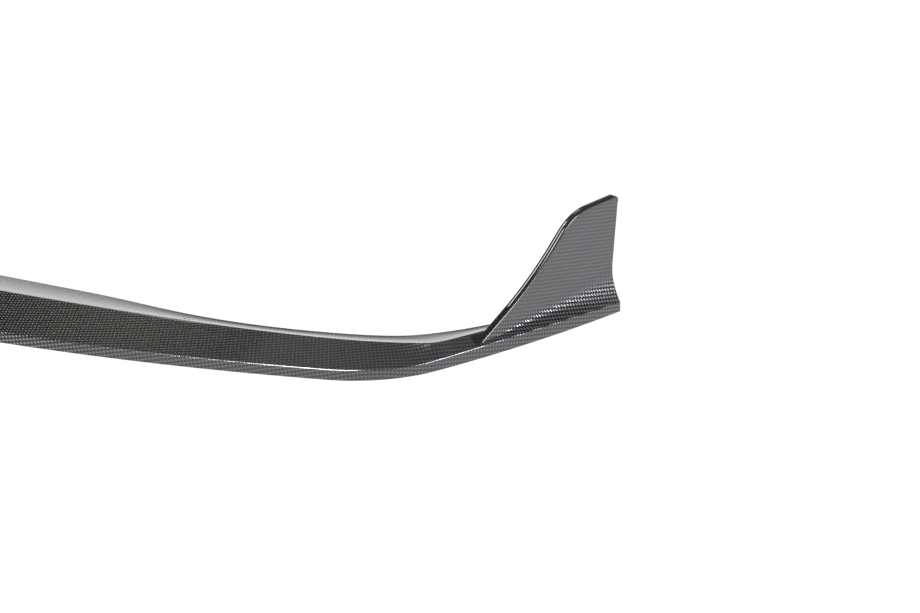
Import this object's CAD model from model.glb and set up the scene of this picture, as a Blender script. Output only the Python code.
import math
from collections import namedtuple

import bmesh
import bpy
import numpy as np
from mathutils import Matrix, Quaternion, Vector
from mathutils.geometry import tessellate_polygon


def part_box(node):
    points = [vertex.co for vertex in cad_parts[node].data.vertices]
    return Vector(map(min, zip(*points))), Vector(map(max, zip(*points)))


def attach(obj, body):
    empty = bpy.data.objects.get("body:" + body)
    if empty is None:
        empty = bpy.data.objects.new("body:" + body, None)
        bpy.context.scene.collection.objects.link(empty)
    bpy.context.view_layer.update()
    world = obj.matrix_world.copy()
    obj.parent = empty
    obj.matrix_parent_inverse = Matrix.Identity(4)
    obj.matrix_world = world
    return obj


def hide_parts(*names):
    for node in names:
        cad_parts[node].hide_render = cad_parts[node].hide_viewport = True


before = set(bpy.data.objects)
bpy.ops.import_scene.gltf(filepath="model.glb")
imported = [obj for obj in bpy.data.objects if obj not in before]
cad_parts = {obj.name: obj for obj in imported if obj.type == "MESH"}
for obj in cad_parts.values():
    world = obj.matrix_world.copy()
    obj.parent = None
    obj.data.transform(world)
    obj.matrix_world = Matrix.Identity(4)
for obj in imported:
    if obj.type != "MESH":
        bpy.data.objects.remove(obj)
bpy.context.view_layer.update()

# Front splitter lip of a car, in metres: nose towards -Y, +Z up, standing on its lower edge.
# The right half is drawn in plan from the nose point, and the left half mirrors it.
NOSE_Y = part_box("front_lip")[0].y

# Plan of the nose edge: radius and turn of each arc, from the centreline to the right rear end
NOSE_ARCS = ((2.340, 16.5), (0.171, 48.1), (0.900, 2.0), (1.925, 8.9))
FRONT, CORNER, LEAD, SIDE = range(4)

# Section of the shell
WALL = 0.0025
BAND_HEIGHT = 0.0145
INNER_BAND_HEIGHT = 0.01275
RETURN_WIDTH = 0.018
NOSE_ROUNDING = 0.0025
FOOT_ROUNDING = 0.001
CREST_ROUNDING = 0.0015
EDGE_ROUNDING = 0.0008
END_ROUNDING = 0.0012
CREST_OFFSET = 0.0008
FLANGE_DISH = 0.0008

# Seat plane of the flange, which falls towards the rear
SEAT_HEIGHT = 0.0388
SEAT_FALL = math.radians(2.86)

# Depth of the blade, from the nose edge to the crest
BLADE_CENTRE = 0.084
BLADE_QUARTER = 0.0673
BLADE_FRONT_END = 0.0545
BLADE_CORNER_END = 0.0172
BLADE_LEAD_END = 0.0122
BLADE_REAR = 0.014
CREST_FRONT_HEADING = math.radians(16.2)
CREST_CORNER_HEADING = math.radians(31.7)

# Rear edge of the flange, as its depth from the nose edge
TAB_HALF_WIDTH = 0.279
TAB_DEPTH = 0.145
FLANGE_QUARTER = 0.0952
FLANGE_FRONT_END = 0.0784
FLANGE_CORNER = 0.0686
FLANGE_CORNER_END = 0.0556
FLANGE_LEAD_END = 0.0462
FLANGE_REAR = 0.033

# Fixing holes, a pair through the flange on each side
HOLE_DIAMETER = 0.0032
HOLE_PITCH = 0.006
HOLE_FROM_CENTRE = 0.4435
HOLE_SETBACK = 0.1185
DRILL_LENGTH = 0.02

# Fin: a leaning plate, with the corners of its border as distance along it and height
FIN_ROOT = 0.069
FIN_THICKNESS = 0.0105
FIN_LEAN = math.radians(4.7)
FIN_ROOT_INSET = 0.0025
FIN_REAR_INSET = 0.0185
FIN_KNEE = (0.1016, 0.0791)
FIN_SHOULDER = (0.1736, 0.1567)
FIN_TOP = 0.1615
FIN_KNEE_SHARE = 0.51
FIN_SHOULDER_SHARE = 0.28
FIN_TIP_RADIUS = 0.008
FIN_EDGE_ROUNDING = 0.0025
RIM_CROWN = 0.0006

# Bare resin on the fin's rim: where cloth sets in before the shoulder, and the edge that stays bare
RIM_CLOTH_START = 0.020
RIM_CLOTH_FADE = 0.030
RIM_RESIN_EDGE = 0.002
RIM_RESIN_FADE = 0.0015

# Concave flare below the fin, and the rise of the band's top along its foot
FLARE_ROOT_HEIGHT = 0.001
FLARE_REAR_HEIGHT = 0.050
FLARE_FOOT_INSET = 0.0008
BAND_RISE = 0.0026
BAND_RISE_START = 0.090
BAND_RISE_LENGTH = 0.150
BAND_FALL_LENGTH = 0.130

# Stations along the right half: their number by stretch, and the close ones at the fin's root and rear end
FRONT_STATIONS = 72
CORNER_STATIONS = 64
LEAD_STATIONS = 40
FIN_STATIONS = 96
END_STATIONS = 18
ROOT_STEP = 0.0008
ROOT_STRETCH = 0.030
END_STRETCH = 0.010
ROOT_GAP = 0.002
BEFORE_FIN = -0.001

# Before the fin: share of its root by which sections have turned square to it, and the gathering of points
SQUARE_BY = 0.9
GATHER_FROM = 0.6
GATHER_STRETCH = 0.025

# Points round a section, by region
BAND_POINTS = 3
NOSE_POINTS = 9
FLARE_POINTS = 16
FIN_FACE_POINTS = 13
RIM_ROUND_POINTS = 6
RIM_FLAT_POINTS = 5
BLADE_POINTS = 6
CREST_POINTS = 5
FLANGE_POINTS = 11
EDGE_POINTS = 4
UNDER_FLANGE_POINTS = 8
UNDER_BLADE_POINTS = 6

# Points on curves, and how far lines run on past their ends, so that they can be crossed there
SPLINE_POINTS = 160
BORDER_POINTS = 40
HOLE_SIDES = 24
CENTRE_OVERRUN = 0.010
REAR_OVERRUN = 0.05
FOOT_OVERRUN = 0.3
TIP_OVERRUN = 0.1

# Edges sharper than this angle are shaded as edges, and lengths below these count as none
SHARP_ANGLE = math.radians(38)
SAME_POINT = 2e-6
NO_STEP = 1e-7
NO_DISTANCE = 1e-9

# Cloth: 2x2 twill, with the slant of its rows to the nose edge on the blade and on the fin
TOW_PITCH = 0.0018
FRONT_ROW_SLANT = math.radians(12.0)
FIN_ROW_SLANT = math.radians(-9.0)
ROWS_STRAIGHTEN = 0.30
ROWS_TURNED_BY = 0.7

# Shade of the cloth and of bare resin, and how far tows differ: crosswise, and from one to the next
CLOTH_SHADE = 0.084
RESIN_SHADE = 0.12
CARBON_TINT = (1.0, 1.005, 1.09)
TOW_CONTRAST = 0.5
PAIR_CONTRAST = 0.4

# Strength of that contrast by region, between distances from the centreline along the cloth and between
# heights. The flare's top is a height above a line that climbs along the cloth.
CENTRE_CONTRAST = 1.9
FRONT_CONTRAST = 0.75
CENTRE_FADE = (0.15, 0.45)
FLARE_CONTRAST = 1.9
FLARE_FOOT = (0.014, 0.018)
FLARE_TOP = (-0.026, -0.012)
FLARE_CLIMB = 0.055
FIN_CONTRAST = 0.55
FIN_CLOTH = (0.85, 0.95)

# Shade across a tow, from its edges to its middle, along a float in the same way, and of its fibres
ACROSS_TOW = (0.45, 1.1)
ALONG_FLOAT = (0.5, 1.15)
FIBRE_SHADES = (0.75, 1.25)
FIBRES_ACROSS = 12.0
FIBRES_ALONG = 0.35
CROWN_RELIEF = 0.6
ARCH_RELIEF = 0.4

# Studio: brightness of the sky, where 1 is white, and its angles in degrees
HORIZON = 0.9
CEILING = 0.10
HORIZON_FADE = (8, 30)
GLOW = 0.5
GLOW_BEARING = (-29, 2)
GLOW_FADE = (28, 3)
CANOPY = 0.29
CANOPY_BEARING = (75, 65)
CANOPY_FADE = (50.5, 48.5)
FLOOR_SIZE = 60
FLOOR_COLOUR = (0.9, 0.9, 0.9, 1)
FLOOR_GLOW = 0.9
LIGHT_DISTANCE = 12.0
WATTS_PER_SQUARE_METRE = 4
WHITE = (1.0, 1.0, 1.0)
WARM = (1.0, 0.94, 0.78)

# Camera, above and to the right of the nose, and the point that it and the lights aim at
AIM = Vector((0.684, 0.414 + NOSE_Y, 0.0))
CAMERA_YAW = math.radians(28.31)
CAMERA_ELEVATION = math.radians(20.0)
CAMERA_DISTANCE = 4.5
LENS_MM = 132.2217
SENSOR_MM = 36.0


# Plan of the lip

def unit(vector):
    """Vector of length 1 in the same direction."""
    return vector / np.linalg.norm(vector)


def heading(angle):
    """Direction in plan at an angle from +X."""
    return np.array([math.cos(angle), math.sin(angle)])


def smooth(value):
    """Smooth step of a value between 0 and 1."""
    value = np.clip(value, 0, 1)
    return value * value * (3 - 2 * value)


def arc_length(arc):
    """Length of one arc of the nose edge."""
    radius, turn = NOSE_ARCS[arc]
    return radius * math.radians(turn)


ARC_STARTS = [sum(arc_length(k) for k in range(arc)) for arc in range(len(NOSE_ARCS) + 1)]
NOSE_LENGTH = ARC_STARTS[-1]


def nose_edge(distance):
    """Points and headings of the nose edge in plan at distances from the centreline."""
    distance = np.atleast_1d(distance)
    points = np.zeros((len(distance), 2))
    headings = np.zeros(len(distance))
    start = np.zeros(2)
    angle = 0.0
    for arc, (radius, turn) in enumerate(NOSE_ARCS):
        here = distance >= ARC_STARTS[arc] - NO_DISTANCE
        ends = angle + (distance - ARC_STARTS[arc]) / radius
        reach = radius * np.stack([np.sin(ends) - math.sin(angle), math.cos(angle) - np.cos(ends)], axis=1)
        points[here] = (start + reach)[here]
        headings[here] = ends[here]
        finish = angle + math.radians(turn)
        start = start + radius * np.array([
            math.sin(finish) - math.sin(angle),
            math.cos(angle) - math.cos(finish),
        ])
        angle = finish
    return points, headings


def inboard(arc, along, depth):
    """Point at a depth inside the nose edge, at a fraction along one of its arcs."""
    points, headings = nose_edge(ARC_STARTS[arc] + along * arc_length(arc))
    return points[0] + depth * heading(headings[0] + math.pi / 2)


def spline(points, start, end):
    """Smooth curve through points that leaves and arrives along two directions."""
    points = np.array(points)
    last = len(points) - 1
    spans = np.linalg.norm(np.diff(points, axis=0), axis=1)
    matrix = np.eye(last + 1)
    sides = np.zeros_like(points)
    sides[0] = unit(start)
    sides[last] = unit(end)
    for k in range(1, last):
        before, after = spans[k - 1], spans[k]
        matrix[k, k - 1:k + 2] = (1 / before, 2 / before + 2 / after, 1 / after)
        sides[k] = 3 * (points[k] - points[k - 1]) / before**2 + 3 * (points[k + 1] - points[k]) / after**2
    slopes = np.linalg.solve(matrix, sides)
    t = np.linspace(0, 1, SPLINE_POINTS, endpoint=False)[:, None]
    rows = []
    for k, span in enumerate(spans):
        rows.append(
            (1 + 2 * t) * (1 - t)**2 * points[k] + t * (1 - t)**2 * span * slopes[k]
            + t**2 * (3 - 2 * t) * points[k + 1] + t**2 * (t - 1) * span * slopes[k + 1]
        )
    rows.append(points[last:])
    return np.concatenate(rows)


# Line of the fin's outer face at the top of the band
fin_start = inboard(SIDE, (FIN_ROOT - arc_length(LEAD)) / arc_length(SIDE), FIN_ROOT_INSET)
fin_along = unit(inboard(SIDE, 1, FIN_REAR_INSET) - fin_start)
fin_out = np.array([fin_along[1], -fin_along[0]])
fin_heading = math.atan2(fin_along[1], fin_along[0])
FIN_LENGTH = float(np.dot(nose_edge(NOSE_LENGTH)[0][0] - fin_start, fin_along))


def crest_line():
    """Right half of the crest in plan, run on past the rear end."""
    centre = inboard(FRONT, 0, BLADE_CENTRE)
    quarter = inboard(FRONT, 2 / 3, BLADE_QUARTER)
    front_end = inboard(FRONT, 1, BLADE_FRONT_END)
    corner_end = inboard(CORNER, 1, BLADE_CORNER_END)
    lead_end = inboard(LEAD, 1, BLADE_LEAD_END)
    rear = inboard(SIDE, 1, BLADE_REAR)
    front_way = heading(CREST_FRONT_HEADING)
    corner_way = heading(CREST_CORNER_HEADING)
    return np.concatenate([
        [centre - (CENTRE_OVERRUN, 0)],
        spline([centre, quarter, front_end], np.array([1.0, 0.0]), front_way),
        spline([front_end, corner_end], front_way, corner_way),
        spline([corner_end, lead_end], corner_way, rear - lead_end),
        [rear + REAR_OVERRUN * (rear - lead_end)],
    ])


def flange_line():
    """Right half of the flange's rear edge in plan, run on past the rear end."""
    strip = [
        np.array([TAB_HALF_WIDTH, TAB_DEPTH]),
        inboard(FRONT, 2 / 3, FLANGE_QUARTER),
        inboard(FRONT, 1, FLANGE_FRONT_END),
        inboard(CORNER, 2 / 3, FLANGE_CORNER),
        inboard(CORNER, 1, FLANGE_CORNER_END),
        inboard(LEAD, 1, FLANGE_LEAD_END),
        inboard(SIDE, 1, FLANGE_REAR),
    ]
    sweep = spline(strip, np.array([1.0, 0.0]), fin_along)
    return np.concatenate([[(-CENTRE_OVERRUN, TAB_DEPTH)], sweep, [sweep[-1] + REAR_OVERRUN * fin_along]])


def crossing(line, origin, way):
    """Distance from an origin, along a direction, to the first place where a plan line crosses it."""
    offsets = line - origin
    side = offsets[:, 0] * way[1] - offsets[:, 1] * way[0]
    ahead = offsets @ way
    found = np.nonzero(side[:-1] * side[1:] < 0)[0]
    share = side[found] / (side[found] - side[found + 1])
    reaches = ahead[found] + share * (ahead[found + 1] - ahead[found])
    return reaches[reaches > 0].min()


def seat_level(point):
    """Height of the seat plane over a plan point."""
    return SEAT_HEIGHT - (point[1] - BLADE_CENTRE) * math.tan(SEAT_FALL)


def side_centre():
    """Centre of the side arc, and its heading where it starts."""
    points, headings = nose_edge(ARC_STARTS[SIDE])
    return points[0] + NOSE_ARCS[SIDE][0] * heading(headings[0] + math.pi / 2), headings[0]


def stations():
    """Places along the right half: nose points, inward ways, distance along the nose and along the fin,
    and the number of the first place on the fin. Before the fin the sections turn to square with it."""
    fin_root_at = ARC_STARTS[LEAD] + FIN_ROOT
    ahead = np.concatenate([
        np.linspace(0, ARC_STARTS[CORNER], FRONT_STATIONS, endpoint=False),
        np.linspace(ARC_STARTS[CORNER], ARC_STARTS[LEAD], CORNER_STATIONS, endpoint=False),
        np.linspace(ARC_STARTS[LEAD], fin_root_at - ROOT_GAP, LEAD_STATIONS),
    ])
    points, headings = nose_edge(ahead)
    turn = smooth((ahead - ARC_STARTS[LEAD]) / (SQUARE_BY * FIN_ROOT))
    headings = headings + (fin_heading - headings) * turn
    ways = np.stack([-np.sin(headings), np.cos(headings)], axis=1)
    end_from = FIN_LENGTH - END_STRETCH
    along = np.sort(np.concatenate([
        np.arange(0, ROOT_STRETCH, ROOT_STEP),
        np.linspace(ROOT_STRETCH, end_from, FIN_STATIONS, endpoint=False),
        end_from + END_STRETCH * np.sin(np.linspace(0, math.pi / 2, END_STATIONS)),
        [FIN_LENGTH - WALL],
    ]))
    radius = NOSE_ARCS[SIDE][0]
    centre, angle = side_centre()
    offset = centre - fin_start
    reach = offset @ fin_out + np.sqrt(radius**2 - (along - offset @ fin_along)**2)
    fin_points = fin_start + along[:, None] * fin_along + reach[:, None] * fin_out
    spoke = fin_points - centre
    fin_ahead = ARC_STARTS[SIDE] + radius * (np.arctan2(spoke[:, 1], spoke[:, 0]) + math.pi / 2 - angle)
    before = (points - fin_start) @ fin_along
    return (
        np.concatenate([points, fin_points]),
        np.concatenate([ways, np.repeat(-fin_out[None], len(along), axis=0)]),
        np.concatenate([ahead, fin_ahead]),
        np.concatenate([np.minimum(before, BEFORE_FIN), along]),
        len(ahead),
    )


# Border of the fin, on its leaning face

def half_corner(before, after):
    """Half the angle between two unit ways out of a corner."""
    return math.acos(np.clip(np.dot(before, after), -1, 1)) / 2


def arc_points(corner, before, after, radius, count):
    """Arc of a radius that rounds a corner between two unit ways out of it."""
    half = half_corner(before, after)
    middle = corner + unit(before + after) * radius / math.sin(half)
    first = corner + before * radius / math.tan(half) - middle
    final = corner + after * radius / math.tan(half) - middle
    turn = math.pi - 2 * half
    share = np.linspace(0, 1, count)[:, None]
    return middle + (np.sin((1 - share) * turn) * first + np.sin(share * turn) * final) / math.sin(turn)


def on_face(along, height):
    """Place on the fin's face: distance along it, and up it from the top of the band to a height."""
    return np.array([along, (height - BAND_HEIGHT) / math.cos(FIN_LEAN)])


def fin_border():
    """Leading and top border of the fin on its face, run on past both ends."""
    foot = np.zeros(2)
    knee = on_face(*FIN_KNEE)
    shoulder = on_face(*FIN_SHOULDER)
    tip = on_face(FIN_LENGTH, FIN_TOP)
    sweep = np.linalg.norm(shoulder - knee)
    before_foot = foot - FOOT_OVERRUN * (knee - foot)
    beyond_tip = tip + TIP_OVERRUN * (tip - shoulder)
    corners = [before_foot, knee, shoulder, beyond_tip]
    outline = [corners[:1]]
    for k, share in ((1, FIN_KNEE_SHARE), (2, FIN_SHOULDER_SHARE)):
        before = unit(corners[k - 1] - corners[k])
        after = unit(corners[k + 1] - corners[k])
        radius = share * sweep * math.tan(half_corner(before, after))
        outline.append(arc_points(corners[k], before, after, radius, BORDER_POINTS))
    outline.append(corners[3:])
    return np.concatenate(outline)


def inset_outline(outline, inset):
    """Outline moved to its right-hand side by an inset."""
    ways = np.gradient(outline, axis=0)
    ways = ways / np.linalg.norm(ways, axis=1)[:, None]
    return outline + inset * np.stack([ways[:, 1], -ways[:, 0]], axis=1)


def tip_height(along):
    """Height on the fin's face of the rounded rear tip, and no limit ahead of the tip."""
    shoulder = on_face(*FIN_SHOULDER)
    tip = on_face(FIN_LENGTH, FIN_TOP)
    slope = math.atan2(tip[1] - shoulder[1], tip[0] - shoulder[0])
    run = FIN_TIP_RADIUS * math.tan(math.pi / 4 + slope / 2)
    past = along - (FIN_LENGTH - FIN_TIP_RADIUS)
    if past <= 0:
        return math.inf
    return tip[1] - run + math.sqrt(max(FIN_TIP_RADIUS**2 - past**2, 0))


BORDER = fin_border()
ROUND_IN = FIN_EDGE_ROUNDING * (1 - np.cos(np.linspace(0, math.pi / 2, RIM_ROUND_POINTS)))
RIM_ACROSS = np.concatenate([
    ROUND_IN,
    np.linspace(FIN_EDGE_ROUNDING, FIN_THICKNESS - FIN_EDGE_ROUNDING, RIM_FLAT_POINTS + 2)[1:-1],
    FIN_THICKNESS - ROUND_IN[::-1],
])
RIM_POINTS = len(RIM_ACROSS) - 2
FIN_POINTS = FLARE_POINTS + 2 * FIN_FACE_POINTS + RIM_POINTS


def rim_height(along, across):
    """Height of the fin's rim on its face, at a distance across its thickness."""
    near = min(across, FIN_THICKNESS - across, FIN_EDGE_ROUNDING)
    drop = FIN_EDGE_ROUNDING - math.sqrt(max(FIN_EDGE_ROUNDING**2 - (FIN_EDGE_ROUNDING - near)**2, 0))
    crown = RIM_CROWN * (1 - (2 * across / FIN_THICKNESS - 1)**2)
    outline = inset_outline(BORDER, drop - crown)
    return min(np.interp(along, outline[:, 0], outline[:, 1]), tip_height(along))


def rim_resin(along):
    """Share of bare resin across the fin's rim: full on the leading edge, and on the top only the outer
    rounding's."""
    on_top = smooth((along - FIN_SHOULDER[0] + RIM_CLOTH_START) / RIM_CLOTH_FADE)
    inwards = smooth((RIM_ACROSS[1:-1] - RIM_RESIN_EDGE) / RIM_RESIN_FADE)
    return 1.0 - on_top * inwards


def band_rise(along):
    """Height by which the top of the band rises towards the fin and sinks again to the rear end."""
    rising = smooth((along + BAND_RISE_START) / BAND_RISE_LENGTH)
    sinking = smooth((along - FIN_LENGTH + BAND_FALL_LENGTH) / BAND_FALL_LENGTH)
    return float(BAND_RISE * rising * (1 - sinking))


# Sections across the lip

INWARDS = np.array([1.0, 0.0])
UP = np.array([0.0, 1.0])


class Section:
    """Section of the shell at one station, drawn as depths from the nose edge and heights."""

    def __init__(self, blade, rear, crest_level, seat_slope, along, reach):
        self.blade = blade
        self.rear = rear
        self.crest_level = crest_level
        self.seat_slope = seat_slope
        self.along = along
        self.reach = reach
        self.lift = band_rise(along)
        self.band_corner = np.array([0.0, BAND_HEIGHT + self.lift])
        self.crest = np.array([blade, crest_level])
        self.seat_way = unit(INWARDS + seat_slope * UP)
        rise = unit(self.crest - self.band_corner)
        self.nose = arc_points(self.band_corner, -UP, rise, NOSE_ROUNDING, NOSE_POINTS)
        self.crown = arc_points(self.crest, -rise, self.seat_way, CREST_ROUNDING, CREST_POINTS)

    def flange_height(self, depth):
        """Height of the flange, slightly dished between the crest and its rear edge."""
        front = self.crown[-1, 0]
        share = np.clip((depth - front) / (self.rear - front), 0, 1)
        dish = 4 * FLANGE_DISH * share * (1 - share)
        return self.crest_level + (depth - self.blade) * self.seat_slope - dish

    def base(self, depth):
        """Points of the blade and flange at depths."""
        outline = np.concatenate([self.nose, self.crown])
        on_blade = np.interp(depth, outline[:, 0], outline[:, 1])
        height = np.where(depth > self.crown[-1, 0], self.flange_height(depth), on_blade)
        return np.stack([depth, height], axis=1)

    def on_fin(self, up, across):
        """Points at distances up the fin's leaning face from the top of the band, and in from it."""
        sine, cosine = math.sin(FIN_LEAN), math.cos(FIN_LEAN)
        return np.stack([self.reach - up * sine + across * cosine, up * cosine + across * sine], axis=1)

    def fin(self):
        """Fin from the foot of its flare, up its outer face, over the rim and down its inner face."""
        flare = FLARE_ROOT_HEIGHT + (FLARE_REAR_HEIGHT - FLARE_ROOT_HEIGHT) * self.along / FIN_LENGTH
        start = np.array([FLARE_FOOT_INSET, self.lift])
        top = np.array([self.reach - flare * math.tan(FIN_LEAN), flare])
        control = np.array([self.reach - flare * math.tan(FIN_LEAN) / 2, flare / 2])
        t = np.linspace(0, 1, FLARE_POINTS)[:, None]
        curve = (1 - t)**2 * start + 2 * t * (1 - t) * control + t**2 * top
        border = rim_height(self.along, 0)
        up = np.linspace(min(flare / math.cos(FIN_LEAN), border), border, FIN_FACE_POINTS + 1)[1:]
        over = np.array([rim_height(self.along, across) for across in RIM_ACROSS])
        behind = np.array([self.reach + FIN_THICKNESS / math.cos(FIN_LEAN)])
        inner_foot = (self.base(behind)[0, 1] - BAND_HEIGHT) / math.cos(FIN_LEAN)
        down = np.linspace(border, min(inner_foot, border), FIN_FACE_POINTS + 1)[1:]
        fin = np.concatenate([
            curve,
            self.on_fin(up, 0.0),
            self.on_fin(over, RIM_ACROSS)[1:-1],
            self.on_fin(down, FIN_THICKNESS),
        ])
        fin[:, 1] = np.maximum(fin[:, 1] + BAND_HEIGHT, self.base(fin[:, 0])[:, 1])
        return fin

    def run_up(self):
        """Blade ahead of the fin, with as many points as the fin, which gather towards its root."""
        near = smooth(1 + self.along / GATHER_STRETCH)
        root = self.reach + FIN_THICKNESS / math.cos(FIN_LEAN)
        inner = (1 - near) * GATHER_FROM * self.blade + near * root
        return self.base(np.linspace(self.nose[-1, 0], inner, FIN_POINTS + 1)[1:])

    def behind(self, gone):
        """Rest of the blade, crest and flange, from a depth that is already drawn."""
        crest_from, crest_to = self.crown[0, 0], self.crown[-1, 0]
        ruling = np.linspace(min(gone, crest_from), crest_from, BLADE_POINTS + 2)[1:-1]
        flange = np.linspace(crest_to, self.rear - EDGE_ROUNDING, FLANGE_POINTS + 1)[1:]
        return self.base(np.maximum(np.concatenate([ruling, self.crown[:, 0], flange]), gone))

    def rear_edge(self):
        """Rounded rear edge of the flange, from its top to its underside."""
        top = self.base(np.array([self.rear]))[0]
        return np.concatenate([
            arc_points(top, -self.seat_way, -UP, EDGE_ROUNDING, EDGE_POINTS),
            arc_points(top - WALL * UP, UP, -self.seat_way, EDGE_ROUNDING, EDGE_POINTS),
        ])

    def inside(self):
        """Inner side, from the rear edge under the flange and the blade to the turned-in return."""
        under_crest = np.array([self.blade + CREST_OFFSET, self.crest_level - WALL])
        under = np.linspace(self.rear - 2 * EDGE_ROUNDING, under_crest[0], UNDER_FLANGE_POINTS)
        under_flange = np.stack([under, self.flange_height(under) - WALL], axis=1)
        inner_corner = np.array([WALL, INNER_BAND_HEIGHT])
        under_blade = np.linspace(under_crest, inner_corner, UNDER_BLADE_POINTS + 1)[1:]
        return np.concatenate([under_flange, under_blade, [(WALL, WALL), (RETURN_WIDTH, WALL)]])

    def outside(self):
        """Outer side, from the return round the band, nose and fin to the rear edge, with the numbers of
        the first points of the nose, the fin and what lies behind it."""
        bottom = np.array([[RETURN_WIDTH, 0.0], [0.5 * RETURN_WIDTH, 0.0]])
        foot = arc_points(np.zeros(2), INWARDS, UP, FOOT_ROUNDING, EDGE_POINTS)
        heights = np.linspace(FOOT_ROUNDING, self.nose[0, 1], BAND_POINTS + 2)[1:-1]
        band = np.stack([np.zeros(BAND_POINTS), heights], axis=1)
        fin = self.fin() if self.along >= 0 else self.run_up()
        regions = [bottom, foot, band, self.nose, fin, self.behind(fin[-1, 0]), self.rear_edge()]
        nose_at = len(bottom) + len(foot) + len(band)
        fin_at = nose_at + len(self.nose)
        return end_rounded(np.concatenate(regions), self.along), nose_at, fin_at, fin_at + len(fin)

    def resin(self, loop, fin_at):
        """Share of bare resin at each outer point, which only the fin's rim has."""
        share = np.zeros(len(loop))
        if self.along >= 0:
            rim_at = fin_at + FLARE_POINTS + FIN_FACE_POINTS
            share[rim_at:rim_at + RIM_POINTS] = rim_resin(self.along)
        return share

    def cloth_over(self, loop, nose_at):
        """Length of cloth from the nose to each outer point, laid over the fin."""
        lengths = np.concatenate([[0], np.cumsum(np.linalg.norm(np.diff(loop, axis=0), axis=1))])
        return lengths - lengths[nose_at]

    def cloth_through(self, loop):
        """Length of cloth from the nose to each outer point, laid over the blade as if it had no fin."""
        slope = np.linalg.norm(self.crest - self.band_corner)
        lengths = np.minimum(loop[:, 0] / self.blade, 1) * slope + np.maximum(loop[:, 0] - self.blade, 0)
        round_the_nose = np.linalg.norm(np.diff(self.nose, axis=0), axis=1).sum()
        return lengths + round_the_nose - np.linalg.norm(self.nose[-1] - self.band_corner)


def end_rounded(loop, along):
    """Loop drawn in where its station lies in the rounding of the rear end."""
    left = FIN_LENGTH - along
    if left >= END_ROUNDING:
        return loop
    inset = END_ROUNDING - math.sqrt(END_ROUNDING**2 - (END_ROUNDING - left)**2)
    ways = np.gradient(loop, axis=0)
    sizes = np.linalg.norm(ways, axis=1)
    for k in range(1, len(loop)):
        if sizes[k] < NO_STEP:
            ways[k] = ways[k - 1]
            sizes[k] = sizes[k - 1]
    ways = ways / sizes[:, None]
    drawn = loop + inset * np.stack([ways[:, 1], -ways[:, 0]], axis=1)
    drawn[:, 1] = np.maximum(drawn[:, 1], 0)
    return drawn


# Skin of the whole lip

def row_slant(ahead):
    """Angle of the cloth's rows to the nose edge, at distances along it."""
    turning = smooth((ahead - ARC_STARTS[CORNER]) / (ROWS_TURNED_BY * arc_length(CORNER)))
    front = FRONT_ROW_SLANT * smooth(ahead / ROWS_STRAIGHTEN)
    return front + (FIN_ROW_SLANT - front) * turning


def build_half():
    """Rings of points of the right half, outside and inside, with the cloth's place on them."""
    points, ways, ahead, along, first_fin = stations()
    crest, flange = crest_line(), flange_line()
    slant = row_slant(ahead)
    middle = (slant[1:] + slant[:-1]) / 2
    row_along = np.concatenate([[0], np.cumsum(np.diff(ahead) * np.cos(middle))])
    row_across = np.concatenate([[0], np.cumsum(-np.diff(ahead) * np.sin(middle))])
    names = ("outside", "inside", "cloth_over", "cloth_through", "cloth_inside", "resin")
    half = {name: [] for name in names}
    for k, (point, way) in enumerate(zip(points, ways)):
        blade = crossing(crest, point, way)
        rear = crossing(flange, point, way)
        reach = (point - fin_start) @ fin_out if k >= first_fin else FIN_ROOT_INSET
        seat_slope = -way[1] * math.tan(SEAT_FALL)
        cut = Section(blade, rear, seat_level(point + blade * way), seat_slope, along[k], reach)
        outside, nose_at, fin_at, behind_at = cut.outside()
        inside = cut.inside()

        def placed(loop):
            plan = point + loop[:, :1] * way
            return np.column_stack([plan[:, 0], plan[:, 1] + NOSE_Y, loop[:, 1]])

        def on_cloth(length):
            return np.stack([
                row_along[k] + length * math.sin(slant[k]),
                row_across[k] + length * math.cos(slant[k]),
            ], axis=1)

        half["outside"].append(placed(outside))
        half["inside"].append(placed(inside))
        half["cloth_over"].append(on_cloth(cut.cloth_over(outside, nose_at)))
        half["cloth_through"].append(on_cloth(cut.cloth_through(outside)))
        half["cloth_inside"].append(on_cloth(inside[:, 0]))
        half["resin"].append(cut.resin(outside, fin_at))
    half = {name: np.array(rows) for name, rows in half.items()}
    half["behind_at"] = behind_at
    half["wall_at"] = int(np.argmin(np.abs(along - (FIN_LENGTH - WALL))))
    return half


def both_sides(rows, mirror=1.0):
    """Rows of the left half, which mirrors the right half, and then those of the right half."""
    return np.concatenate([(rows * mirror)[:0:-1], rows])


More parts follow.
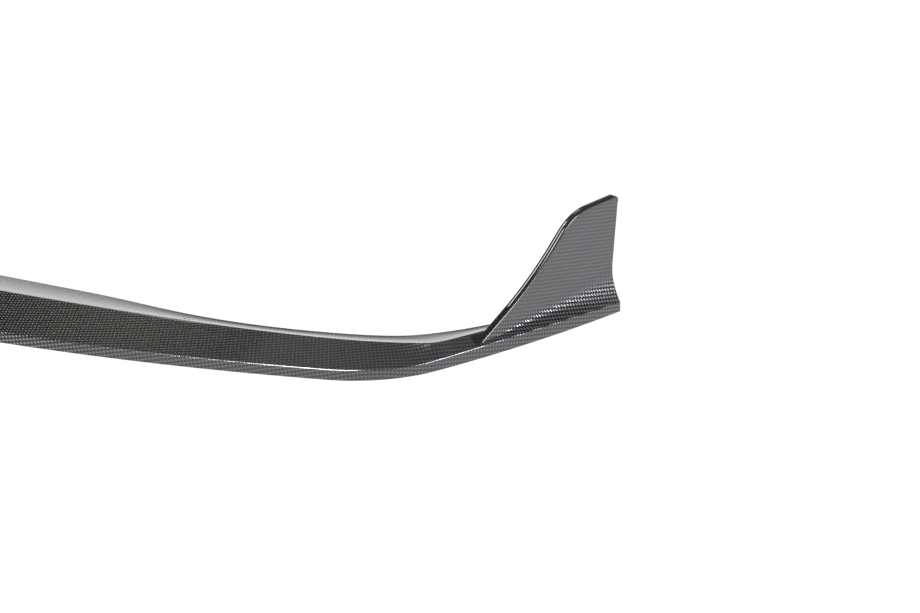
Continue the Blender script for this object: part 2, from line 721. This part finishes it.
class Skin:
    """Closed skin of both halves: points, faces, and the cloth's place at each corner of a face."""

    def __init__(self, half):
        mirror = np.array([-1.0, 1.0, 1.0])
        self.outside = both_sides(half["outside"], mirror)
        self.inside = both_sides(half["inside"], mirror)
        self.cloth_over = both_sides(half["cloth_over"], mirror[:2])
        self.cloth_through = both_sides(half["cloth_through"], mirror[:2])
        self.cloth_inside = both_sides(half["cloth_inside"], mirror[:2])
        self.resin = both_sides(half["resin"])
        self.behind_at = half["behind_at"]
        self.rows, self.out_size = self.outside.shape[:2]
        self.in_size = self.inside.shape[1]
        self.wall_first = len(half["outside"]) - 1 - half["wall_at"]
        self.wall_last = self.rows - 1 - self.wall_first
        below_rear = self.outside[:, -1] * (1, 1, 0)
        self.points = np.concatenate([self.outside.reshape(-1, 3), self.inside.reshape(-1, 3), below_rear])
        self.faces = []
        self.places = []

    def outer(self, row, k):
        """Number of an outer point."""
        return row * self.out_size + k

    def inner(self, row, k):
        """Number of an inner point."""
        return self.rows * self.out_size + row * self.in_size + k

    def low(self, row):
        """Number of the point on the ground below the flange's rear edge."""
        return self.rows * (self.out_size + self.in_size) + row

    def add(self, corners, places):
        """Adds a face with the cloth's place at each corner."""
        self.faces.append(corners)
        self.places.extend(places)

    def lay_outside(self):
        """Outer side, with its cloth cut behind the fin."""
        for row in range(self.rows - 1):
            for k in range(self.out_size - 1):
                cloth = self.cloth_through if k >= self.behind_at - 1 else self.cloth_over
                corners = ((row, k), (row + 1, k), (row + 1, k + 1), (row, k + 1))
                self.add([self.outer(*spot) for spot in corners], [cloth[spot] for spot in corners])

    def inner_ring(self, row):
        """Points and cloth of the inner side of a station, from the flange's edge to the return."""
        edge, foot = self.outer(row, self.out_size - 1), self.outer(row, 0)
        ring = [self.inner(row, k) for k in range(self.in_size)]
        cloth = self.cloth_inside[row]
        return [edge, *ring, foot], [cloth[0], *cloth, cloth[-1]]

    def lay_inside(self):
        """Inner side, between the solid walls at both ends."""
        for row in range(self.wall_first, self.wall_last):
            here, here_cloth = self.inner_ring(row)
            there, there_cloth = self.inner_ring(row + 1)
            for k in range(len(here) - 1):
                self.add(
                    [here[k], there[k], there[k + 1], here[k + 1]],
                    [here_cloth[k], there_cloth[k], there_cloth[k + 1], here_cloth[k + 1]],
                )

    def lay_end_walls(self):
        """Back and foot of the solid walls at both ends, each with its corners in outward order."""
        back, foot = self.out_size - 1, 0
        for row in [*range(self.wall_first), *range(self.wall_last, self.rows - 1)]:
            for k, cloth, order in ((back, self.cloth_through, 1), (foot, self.cloth_over, -1)):
                face = [self.outer(row, k), self.outer(row + 1, k), self.low(row + 1), self.low(row)]
                places = [cloth[row, k], cloth[row + 1, k], cloth[row + 1, k], cloth[row, k]]
                self.add(face[::order], places[::order])

    def cap(self, ring):
        """Closes a flat ring of points with triangles."""
        spots = [Vector(self.points[number]) for number in ring]
        kept = [k for k in range(len(ring)) if (spots[k] - spots[k - 1]).length > SAME_POINT]
        for corners in tessellate_polygon([[spots[k] for k in kept]]):
            triangle = [ring[kept[corner]] for corner in corners]
            self.add(triangle, [self.points[number][1:] for number in triangle])

    def close_ends(self):
        """Outer and inner faces of the end walls."""
        for row in (0, self.rows - 1):
            self.cap([self.outer(row, k) for k in range(self.out_size)] + [self.low(row)])
        for row in (self.wall_first, self.wall_last):
            self.cap(self.inner_ring(row)[0] + [self.low(row)])

    def mesh(self, name):
        """Mesh with the cloth as its UV map and the bare resin as a number on its points."""
        mesh = bpy.data.meshes.new(name)
        mesh.from_pydata(self.points.tolist(), [], self.faces)
        resin = mesh.attributes.new("resin", "FLOAT", "POINT")
        bare = np.zeros(len(self.points))
        bare[:self.resin.size] = self.resin.ravel()
        resin.data.foreach_set("value", bare)
        cloth = mesh.uv_layers.new(name="cloth")
        cloth.data.foreach_set("uv", np.array(self.places, dtype=np.float32).ravel())
        mesh.update()
        return mesh


def clean_mesh(mesh):
    """Joins doubled points, drops loose ones and collapsed faces, and turns all faces outwards."""
    work = bmesh.new()
    work.from_mesh(mesh)
    bmesh.ops.remove_doubles(work, verts=work.verts, dist=SAME_POINT)
    bmesh.ops.dissolve_degenerate(work, edges=work.edges, dist=SAME_POINT / 2)
    loose = [point for point in work.verts if not point.link_faces]
    bmesh.ops.delete(work, geom=loose, context="VERTS")
    bmesh.ops.recalc_face_normals(work, faces=work.faces)
    work.to_mesh(mesh)
    work.free()


def smooth_mesh(mesh):
    """Shades all faces smoothly, with sharp edges only where faces meet at a clear angle."""
    work = bmesh.new()
    work.from_mesh(mesh)
    for face in work.faces:
        face.smooth = True
    for edge in work.edges:
        edge.smooth = len(edge.link_faces) == 2 and edge.calc_face_angle(0) < SHARP_ANGLE
    work.to_mesh(mesh)
    work.free()


def mark_faces(mesh, name, value):
    """Gives every face of a mesh one number under a name."""
    layer = mesh.attributes.new(name, "FLOAT", "FACE")
    layer.data.foreach_set("value", np.full(len(mesh.polygons), value))


def drill(lip):
    """Cuts the fixing holes through the flange and marks their walls."""
    mark_faces(lip.data, "bore", 0.0)
    for side in (-1, 1):
        for shift in (-0.5, 0.5):
            x = side * (HOLE_FROM_CENTRE + shift * HOLE_PITCH)
            bpy.ops.mesh.primitive_cylinder_add(
                vertices=HOLE_SIDES, radius=HOLE_DIAMETER / 2, depth=DRILL_LENGTH,
                location=(x, HOLE_SETBACK + NOSE_Y, SEAT_HEIGHT),
            )
            drill_bit = bpy.context.object
            mark_faces(drill_bit.data, "bore", 1.0)
            cut = lip.modifiers.new("hole", "BOOLEAN")
            cut.operation = "DIFFERENCE"
            cut.solver = "MANIFOLD"
            cut.object = drill_bit
            bpy.context.view_layer.objects.active = lip
            bpy.ops.object.modifier_apply(modifier=cut.name)
            bpy.data.objects.remove(drill_bit)


def build_lip():
    """The whole lip as one closed mesh, in its cloth and with its holes."""
    skin = Skin(build_half())
    skin.lay_outside()
    skin.lay_inside()
    skin.lay_end_walls()
    skin.close_ends()
    lip = bpy.data.objects.new("front_lip_skin", skin.mesh("front_lip_skin"))
    bpy.context.scene.collection.objects.link(lip)
    clean_mesh(lip.data)
    lip.data.materials.append(carbon())
    drill(lip)
    smooth_mesh(lip.data)
    return lip


# Carbon cloth under a clear coat

class Graph:
    """Small helper that adds nodes to a material or to the sky."""

    def __init__(self, tree):
        self.tree = tree

    def node(self, kind, **settings):
        """New node with settings."""
        made = self.tree.nodes.new(kind)
        for name, value in settings.items():
            setattr(made, name, value)
        return made

    def link(self, source, target):
        """Joins an output to an input."""
        self.tree.links.new(source, target)

    def math(self, operation, *values):
        """Result of a sum on numbers and outputs."""
        made = self.node("ShaderNodeMath", operation=operation)
        for socket, value in zip(made.inputs, values):
            if isinstance(value, (int, float)):
                socket.default_value = value
            else:
                self.link(value, socket)
        return made.outputs[0]

    def times(self, *values):
        """Product of outputs and numbers."""
        result = values[0]
        for value in values[1:]:
            result = self.math("MULTIPLY", result, value)
        return result

    def between(self, low, high, share):
        """Value from low to high by a share."""
        return self.math("ADD", self.times(share, high - low), low)

    def choose(self, when_zero, when_one, share):
        """One of two outputs, by a share of 0 or 1."""
        change = self.math("SUBTRACT", when_one, when_zero)
        return self.math("ADD", when_zero, self.times(change, share))

    def arch(self, share):
        """Arch that is 0 at shares of 0 and 1, and 1 between them."""
        return self.times(share, self.math("SUBTRACT", 1.0, share), 4.0)

    def ramp(self, value, start, end, low=0.0, high=1.0):
        """Value that eases from low at a start to high at an end."""
        made = self.node("ShaderNodeMapRange", interpolation_type="SMOOTHSTEP")
        self.link(value, made.inputs["Value"])
        made.inputs["From Min"].default_value = start
        made.inputs["From Max"].default_value = end
        made.inputs["To Min"].default_value = low
        made.inputs["To Max"].default_value = high
        return made.outputs["Result"]

    def parts(self, vector):
        """The three numbers of a vector."""
        made = self.node("ShaderNodeSeparateXYZ")
        self.link(vector, made.inputs[0])
        return made.outputs


Weave = namedtuple("Weave", "warp across crown arch tow along")


def twill(g, cloth):
    """2x2 twill at a place on the cloth: which tow direction is on top, the place across its tow, how
    high it arches across and along, the tow's number, and the place along it."""
    turned = g.node("ShaderNodeMapping")
    turned.inputs["Rotation"].default_value = (0, 0, -math.pi / 4)
    turned.inputs["Scale"].default_value = (1 / TOW_PITCH, 1 / TOW_PITCH, 1)
    g.link(cloth, turned.inputs["Vector"])
    x, y, _ = g.parts(turned.outputs["Vector"])
    column, row = g.math("FLOOR", x), g.math("FLOOR", y)
    in_column, in_row = g.math("FRACT", x), g.math("FRACT", y)
    step = g.math("FLOORED_MODULO", g.math("ADD", column, row), 4.0)
    warp = g.math("LESS_THAN", step, 1.5)
    across = g.choose(in_column, in_row, warp)
    lengthwise = g.choose(in_row, in_column, warp)
    float_step = g.math("SUBTRACT", step, g.between(2.0, 0.0, warp))
    on_float = g.times(g.math("ADD", float_step, lengthwise), 0.5)
    return Weave(
        warp, across, g.arch(across), g.arch(on_float), g.choose(column, row, warp), g.choose(y, x, warp),
    )


def fibres(g, weave):
    """Fine streaks that run along each tow."""
    strand = g.node("ShaderNodeCombineXYZ")
    g.link(g.times(weave.across, FIBRES_ACROSS), strand.inputs[0])
    g.link(g.times(weave.along, FIBRES_ALONG), strand.inputs[1])
    g.link(weave.tow, strand.inputs[2])
    streaks = g.node("ShaderNodeTexNoise")
    streaks.inputs["Scale"].default_value = 1.0
    streaks.inputs["Detail"].default_value = 2.0
    g.link(strand.outputs[0], streaks.inputs["Vector"])
    return streaks.outputs["Fac"]


def cloth_contrast(g, cloth):
    """How far the tows differ: most at mid lip and on the flare, least on the flat of the fin."""
    outwards = g.math("ABSOLUTE", g.parts(cloth)[0])
    level = g.parts(g.node("ShaderNodeTexCoord").outputs["Object"])[2]
    front = g.between(CENTRE_CONTRAST, FRONT_CONTRAST, g.ramp(outwards, *CENTRE_FADE))
    flare = g.between(1.0, FLARE_CONTRAST, g.ramp(level, *FLARE_FOOT))
    above = g.math("SUBTRACT", level, g.times(outwards, FLARE_CLIMB))
    fin = g.choose(flare, FIN_CONTRAST, g.ramp(above, *FLARE_TOP))
    return g.choose(front, fin, g.ramp(outwards, *FIN_CLOTH))


def cloth_shade(g, cloth, weave):
    """Brightness of the cloth, which is darkest between tows, and dark where the resin is bare."""
    contrast = cloth_contrast(g, cloth)
    crosswise = g.times(g.between(TOW_CONTRAST, -TOW_CONTRAST, weave.warp), contrast)
    every_other = g.between(-PAIR_CONTRAST, PAIR_CONTRAST, g.math("FLOORED_MODULO", weave.tow, 2.0))
    rim = g.node("ShaderNodeAttribute", attribute_name="resin")
    bore = g.node("ShaderNodeAttribute", attribute_name="bore")
    bare = g.math("MAXIMUM", rim.outputs["Fac"], bore.outputs["Fac"])
    return g.times(
        g.math("ADD", crosswise, 1.0),
        CLOTH_SHADE,
        g.math("ADD", g.times(every_other, contrast), 1.0),
        g.between(*ACROSS_TOW, g.math("POWER", weave.crown, 0.5)),
        g.between(*ALONG_FLOAT, g.math("POWER", weave.arch, 0.5)),
        g.between(*FIBRE_SHADES, fibres(g, weave)),
        g.between(1.0, RESIN_SHADE, bare),
    )


def carbon():
    """2x2 twill carbon cloth under a gloss clear coat."""
    material = bpy.data.materials.new("carbon")
    material.use_nodes = True
    shader = material.node_tree.nodes["Principled BSDF"]
    g = Graph(material.node_tree)
    cloth = g.node("ShaderNodeUVMap", uv_map="cloth").outputs["UV"]
    weave = twill(g, cloth)
    shade = cloth_shade(g, cloth, weave)
    colour = g.node("ShaderNodeCombineColor")
    for socket, tint in zip(colour.inputs, CARBON_TINT):
        g.link(g.times(shade, tint), socket)
    g.link(colour.outputs[0], shader.inputs["Base Color"])
    bump = g.node("ShaderNodeBump")
    bump.inputs["Strength"].default_value = 0.35
    bump.inputs["Distance"].default_value = 0.0002
    relief = g.math("ADD", g.times(weave.crown, CROWN_RELIEF), g.times(weave.arch, ARCH_RELIEF))
    g.link(relief, bump.inputs["Height"])
    g.link(bump.outputs["Normal"], shader.inputs["Normal"])
    tangent = g.node("ShaderNodeTangent", direction_type="UV_MAP", uv_map="cloth")
    g.link(tangent.outputs["Tangent"], shader.inputs["Tangent"])
    g.link(g.between(0.125, 0.375, weave.warp), shader.inputs["Anisotropic Rotation"])
    shader.inputs["Anisotropic"].default_value = 0.4
    shader.inputs["Metallic"].default_value = 1.0
    shader.inputs["Roughness"].default_value = 0.26
    shader.inputs["Coat Weight"].default_value = 1.0
    shader.inputs["Coat Roughness"].default_value = 0.03
    shader.inputs["Coat IOR"].default_value = 1.5
    return material


# Studio and camera

def white_floor():
    """Wide white floor that reads as white and keeps the object's shadow."""
    bpy.ops.mesh.primitive_plane_add(size=FLOOR_SIZE)
    floor = bpy.context.object
    floor.name = "floor"
    material = bpy.data.materials.new("floor_white")
    material.use_nodes = True
    tree = material.node_tree
    shader = tree.nodes["Principled BSDF"]
    shader.inputs["Base Color"].default_value = FLOOR_COLOUR
    shader.inputs["Roughness"].default_value = 0.9
    shader.inputs["Specular IOR Level"].default_value = 0.0
    g = Graph(tree)
    rays = g.node("ShaderNodeLightPath")
    seen = g.math("MAXIMUM", rays.outputs["Is Camera Ray"], rays.outputs["Is Glossy Ray"])
    seen = g.math("MAXIMUM", seen, rays.outputs["Is Transmission Ray"])
    glow = g.node("ShaderNodeEmission")
    mix = g.node("ShaderNodeMixShader")
    g.link(g.times(seen, FLOOR_GLOW), mix.inputs["Fac"])
    g.link(shader.outputs["BSDF"], mix.inputs[1])
    g.link(glow.outputs["Emission"], mix.inputs[2])
    g.link(mix.outputs["Shader"], tree.nodes["Material Output"].inputs["Surface"])
    floor.data.materials.append(material)


def bearing(azimuth, elevation):
    """Direction at an azimuth, clockwise from straight behind, and an elevation, in degrees."""
    azimuth, elevation = math.radians(azimuth), math.radians(elevation)
    return Vector((
        math.sin(azimuth) * math.cos(elevation),
        math.cos(azimuth) * math.cos(elevation),
        math.sin(elevation),
    ))


def sky_patch(g, way, centre, fade, brightness):
    """Round bright patch of sky that fades in from an outer to an inner angle about its centre."""
    toward = g.node("ShaderNodeVectorMath", operation="DOT_PRODUCT")
    g.link(way, toward.inputs[0])
    toward.inputs[1].default_value = bearing(*centre)
    outer, inner = (math.cos(math.radians(angle)) for angle in fade)
    return g.ramp(toward.outputs["Value"], outer, inner, high=brightness)


def sky():
    """Pale horizon under a dim ceiling, with a glow low behind the lip and a canopy over its right."""
    world = bpy.data.worlds.new("studio")
    world.use_nodes = True
    g = Graph(world.node_tree)
    way = g.node("ShaderNodeTexCoord").outputs["Generated"]
    start, end = (math.sin(math.radians(angle)) for angle in HORIZON_FADE)
    horizon = g.ramp(g.parts(way)[2], start, end, HORIZON, CEILING)
    glow = sky_patch(g, way, GLOW_BEARING, GLOW_FADE, GLOW)
    canopy = sky_patch(g, way, CANOPY_BEARING, CANOPY_FADE, CANOPY)
    background = world.node_tree.nodes["Background"]
    background.inputs["Color"].default_value = (*WHITE, 1)
    g.link(g.math("ADD", g.math("ADD", horizon, glow), canopy), background.inputs["Strength"])
    bpy.context.scene.world = world


def softbox(name, place, size, brightness, colour=WHITE, roll=0.0):
    """Soft light at a bearing from the aim, with its width, height and roll in degrees."""
    light = bpy.data.lights.new(name, "AREA")
    light.shape = "RECTANGLE"
    light.size, light.size_y = (2 * LIGHT_DISTANCE * math.tan(math.radians(side / 2)) for side in size)
    light.energy = WATTS_PER_SQUARE_METRE * brightness * light.size * light.size_y
    light.color = colour
    lamp = bpy.data.objects.new(name, light)
    way = bearing(*place)
    turn = way.to_track_quat("Z", "Y") @ Quaternion((0, 0, 1), math.radians(roll))
    lamp.location = AIM + way * LIGHT_DISTANCE
    lamp.rotation_euler = turn.to_euler()
    lamp.visible_camera = False
    bpy.context.scene.collection.objects.link(lamp)


def lights():
    """Soft lights: before the nose, low at the right, a strip over the fin's rim, and a dim fill."""
    softbox("front", place=(171, 40), size=(26, 36), brightness=18)
    softbox("right", place=(84, 8), size=(16, 14), brightness=22)
    softbox("strip", place=(-103, 51.5), size=(24, 4), brightness=18, roll=-36)
    softbox("fill", place=(-42, 47), size=(12, 12), brightness=1.7, colour=WARM)


def camera():
    """Camera that looks at the aim from above and to the right of the nose."""
    back = Vector((
        math.sin(CAMERA_YAW) * math.cos(CAMERA_ELEVATION),
        -math.cos(CAMERA_YAW) * math.cos(CAMERA_ELEVATION),
        math.sin(CAMERA_ELEVATION),
    ))
    right = Vector((math.cos(CAMERA_YAW), math.sin(CAMERA_YAW), 0))
    data = bpy.data.cameras.new("camera")
    data.sensor_fit = "HORIZONTAL"
    data.sensor_width = SENSOR_MM
    data.lens = LENS_MM
    view = bpy.data.objects.new("camera", data)
    turn = Matrix((right, back.cross(right), back)).transposed().to_4x4()
    view.matrix_world = Matrix.Translation(AIM + back * CAMERA_DISTANCE) @ turn
    bpy.context.scene.collection.objects.link(view)
    bpy.context.scene.camera = view


lip = build_lip()
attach(lip, "root")
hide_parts("front_lip")
white_floor()
sky()
lights()
camera()
bpy.context.scene.view_settings.view_transform = "Standard"
